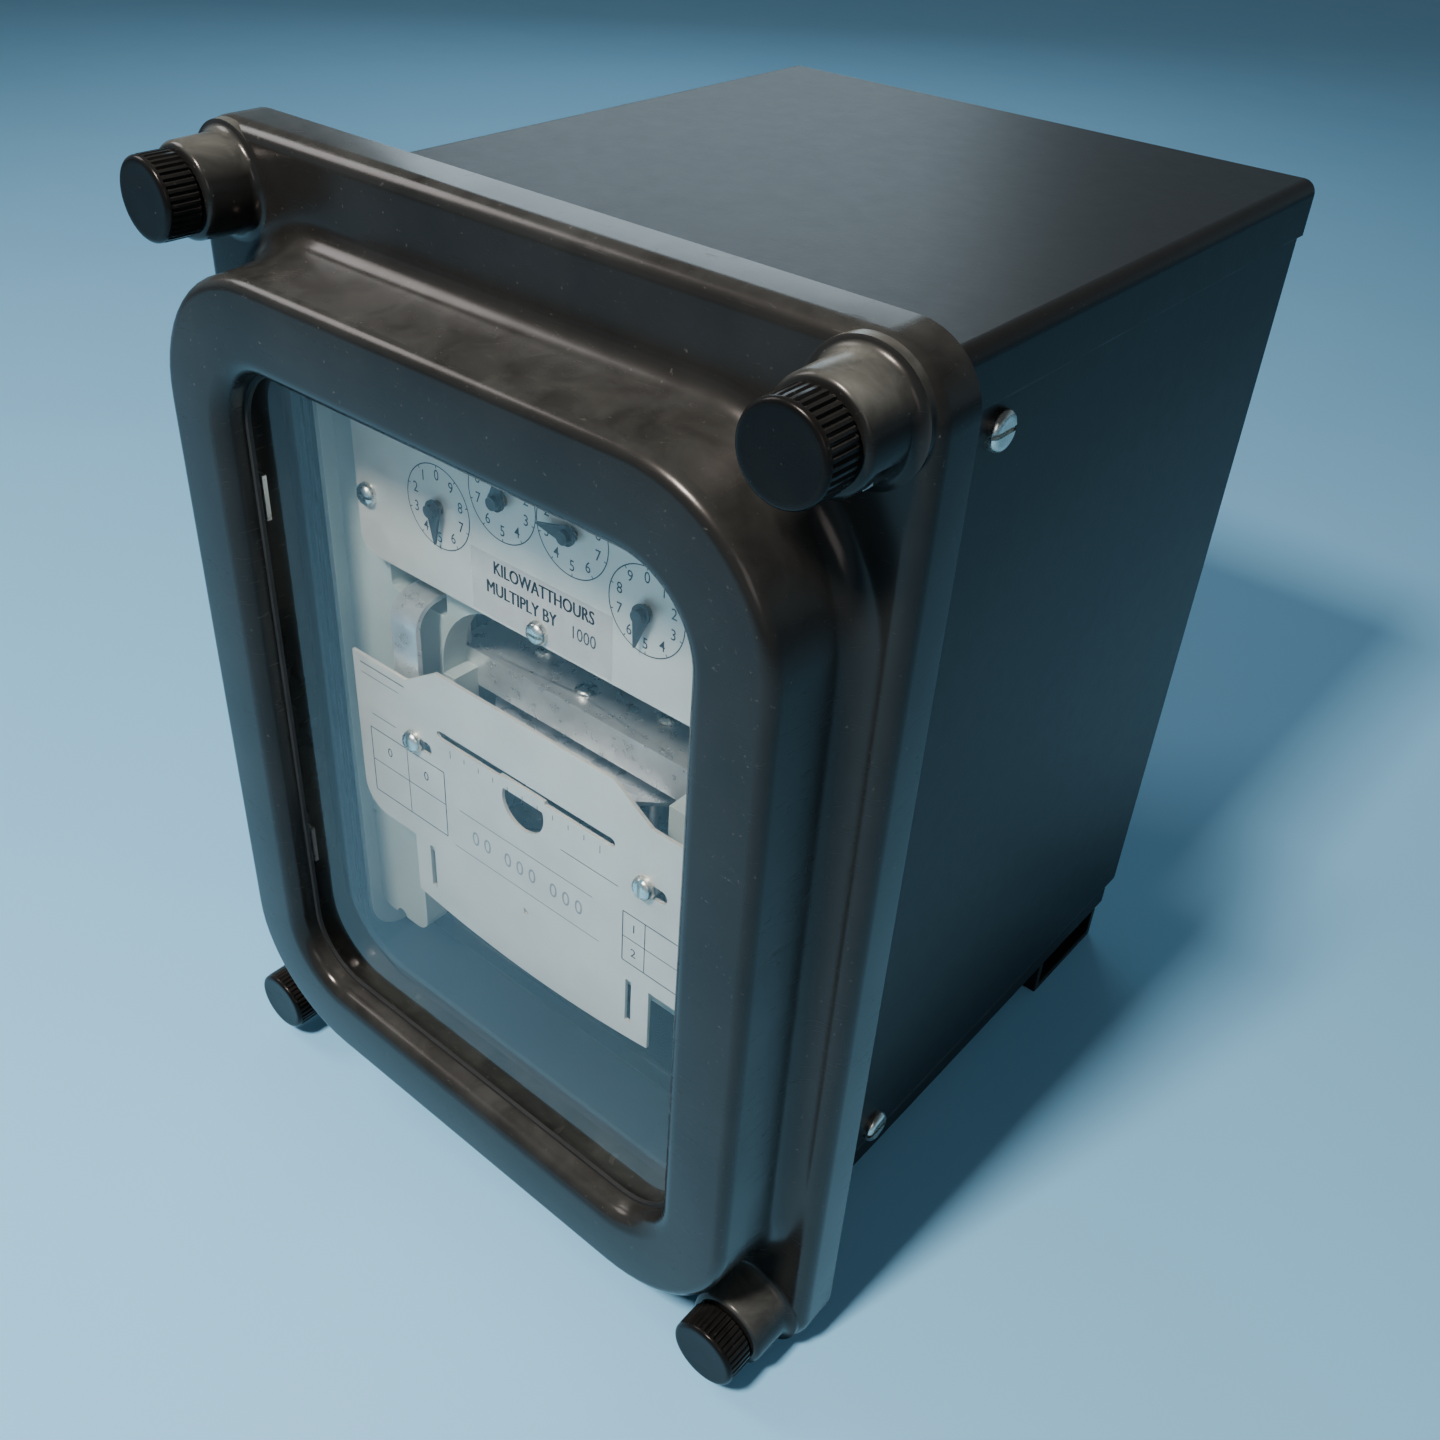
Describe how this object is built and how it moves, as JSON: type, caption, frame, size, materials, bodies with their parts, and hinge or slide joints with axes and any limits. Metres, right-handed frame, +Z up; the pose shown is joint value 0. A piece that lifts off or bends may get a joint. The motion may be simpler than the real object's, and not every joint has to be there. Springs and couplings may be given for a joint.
{
  "type": "switchboard watthour meter",
  "caption": "Panel-mounted watthour meter with pointer dials, in a draw-out steel case with a glazed moulded cover held by thumb nuts.",
  "frame": {"origin": "on the ground under the middle of the whole meter", "axes": "+X to the right seen from the front, +Y to the back (the dials face -Y), +Z up"},
  "size_m": [0.1682, 0.2078, 0.2286],
  "materials": {
    "bakelite": "brown phenolic",
    "black_enamel": "satin black enamel",
    "black_moulding": "worn satin phenolic",
    "brass": "satin",
    "casting": "light grey-green enamel",
    "coil": "taped and varnished",
    "copper": "silver-plated copper",
    "disk": "spun",
    "gasket": "matt",
    "laminations": "stacked sheet",
    "magnet": "ground",
    "nickel": "nickel plate",
    "plate": "satin, printed in black",
    "pointer": "matt black",
    "window": "clear",
    "zinc": "bright zinc plate"
  },
  "bodies": {
    "case": {"case_wrapper": "black_enamel", "case_top_cover": "black_enamel", "case_bottom_pan": "black_enamel", "case_back_panel": "black_enamel", "case_front_frame": "black_enamel", "cover_studs": "zinc", "case_side_screws": "nickel", "rear_foot": "black_enamel", "case_contact_block": "bakelite", "contact_fingers": "copper", "terminal_studs": "brass", "stud_bushings": "bakelite", "terminal_nuts": "brass"},
    "cradle": {"cradle_sides": "casting", "cradle_base": "black_enamel", "cradle_back": "black_enamel", "cradle_top_rail": "black_enamel", "cradle_contact_block": "bakelite", "contact_blades": "copper", "meter_frame": "casting", "bearing_bridge": "zinc", "bridge_screws": "nickel", "upper_bearing": "brass", "lower_bearing": "brass", "drag_magnets": "magnet", "stator_cores": "laminations", "voltage_coils": "coil", "current_coils": "coil", "adjuster_arm": "zinc", "register_front_plate": "brass", "register_mid_plate": "brass", "register_back_plate": "brass", "register_pillars": "brass", "register_face": "plate", "register_screws": "nickel", "nameplate": "plate", "nameplate_posts": "zinc", "nameplate_screws": "nickel"},
    "cover": {"cover_frame": "black_moulding", "cover_gasket": "gasket", "glass_gasket": "gasket", "window_glass": "window", "glass_clips": "zinc", "clip_screws": "nickel", "seal_plate": "zinc"},
    "nut_top_left": {"thumb_nut_top_left": "black_moulding"},
    "nut_top_right": {"thumb_nut_top_right": "black_moulding"},
    "nut_bottom_left": {"thumb_nut_bottom_left": "black_moulding"},
    "nut_bottom_right": {"thumb_nut_bottom_right": "black_moulding"},
    "rotor": {"rotor_shaft": "zinc", "rotor_disks": "disk"},
    "take_off": {"take_off_arbor": "brass"},
    "units": {"units_arbor": "brass", "units_pointer": "pointer"},
    "tens": {"tens_arbor": "brass", "tens_pointer": "pointer"},
    "hundreds": {"hundreds_arbor": "brass", "hundreds_pointer": "pointer"},
    "thousands": {"thousands_arbor": "brass", "thousands_pointer": "pointer"}
  },
  "joints": [
    {"name": "cradle_slide", "type": "slide", "parent": "case", "child": "cradle", "axis": [0, -1, 0], "range_m": [0, 0.13]},
    {"name": "cover_slide", "type": "slide", "parent": "cradle", "child": "cover", "axis": [0, -1, 0], "range_m": [0, 0.08]},
    {"name": "nut_top_left_turn", "type": "hinge", "parent": "cover", "child": "nut_top_left", "pos_m": [-0.0719, -0.09972, 0.2172], "axis": [0, -1, 0], "continuous": true},
    {"name": "nut_top_right_turn", "type": "hinge", "parent": "cover", "child": "nut_top_right", "pos_m": [0.0719, -0.09972, 0.2172], "axis": [0, -1, 0], "continuous": true},
    {"name": "nut_bottom_left_turn", "type": "hinge", "parent": "cover", "child": "nut_bottom_left", "pos_m": [-0.0719, -0.09972, 0.0114], "axis": [0, -1, 0], "continuous": true},
    {"name": "nut_bottom_right_turn", "type": "hinge", "parent": "cover", "child": "nut_bottom_right", "pos_m": [0.0719, -0.09972, 0.0114], "axis": [0, -1, 0], "continuous": true},
    {"name": "rotor_spin", "type": "hinge", "parent": "cradle", "child": "rotor", "pos_m": [0, -0.04072, 0.1143], "axis": [0, 0, 1], "continuous": true},
    {"name": "take_off_turn", "type": "hinge", "parent": "cradle", "child": "take_off", "pos_m": [0.014, -0.05373, 0.14797], "axis": [0, 1, 0], "continuous": true},
    {"name": "units_turn", "type": "hinge", "parent": "cradle", "child": "units", "pos_m": [0.0274, -0.06872, 0.163], "axis": [0, 1, 0], "continuous": true},
    {"name": "tens_turn", "type": "hinge", "parent": "cradle", "child": "tens", "pos_m": [0.00915, -0.06872, 0.1715], "axis": [0, 1, 0], "continuous": true},
    {"name": "hundreds_turn", "type": "hinge", "parent": "cradle", "child": "hundreds", "pos_m": [-0.00915, -0.06872, 0.1715], "axis": [0, 1, 0], "continuous": true},
    {"name": "thousands_turn", "type": "hinge", "parent": "cradle", "child": "thousands", "pos_m": [-0.0274, -0.06872, 0.163], "axis": [0, 1, 0], "continuous": true}
  ],
  "couplings": [
    {"joint": "take_off_turn", "follows": "rotor_spin", "ratio": -0.016667},
    {"joint": "units_turn", "follows": "rotor_spin", "ratio": 0.0016667},
    {"joint": "tens_turn", "follows": "rotor_spin", "ratio": -0.00016667},
    {"joint": "hundreds_turn", "follows": "rotor_spin", "ratio": 0.000016667},
    {"joint": "thousands_turn", "follows": "rotor_spin", "ratio": -0.0000016667}
  ]
}
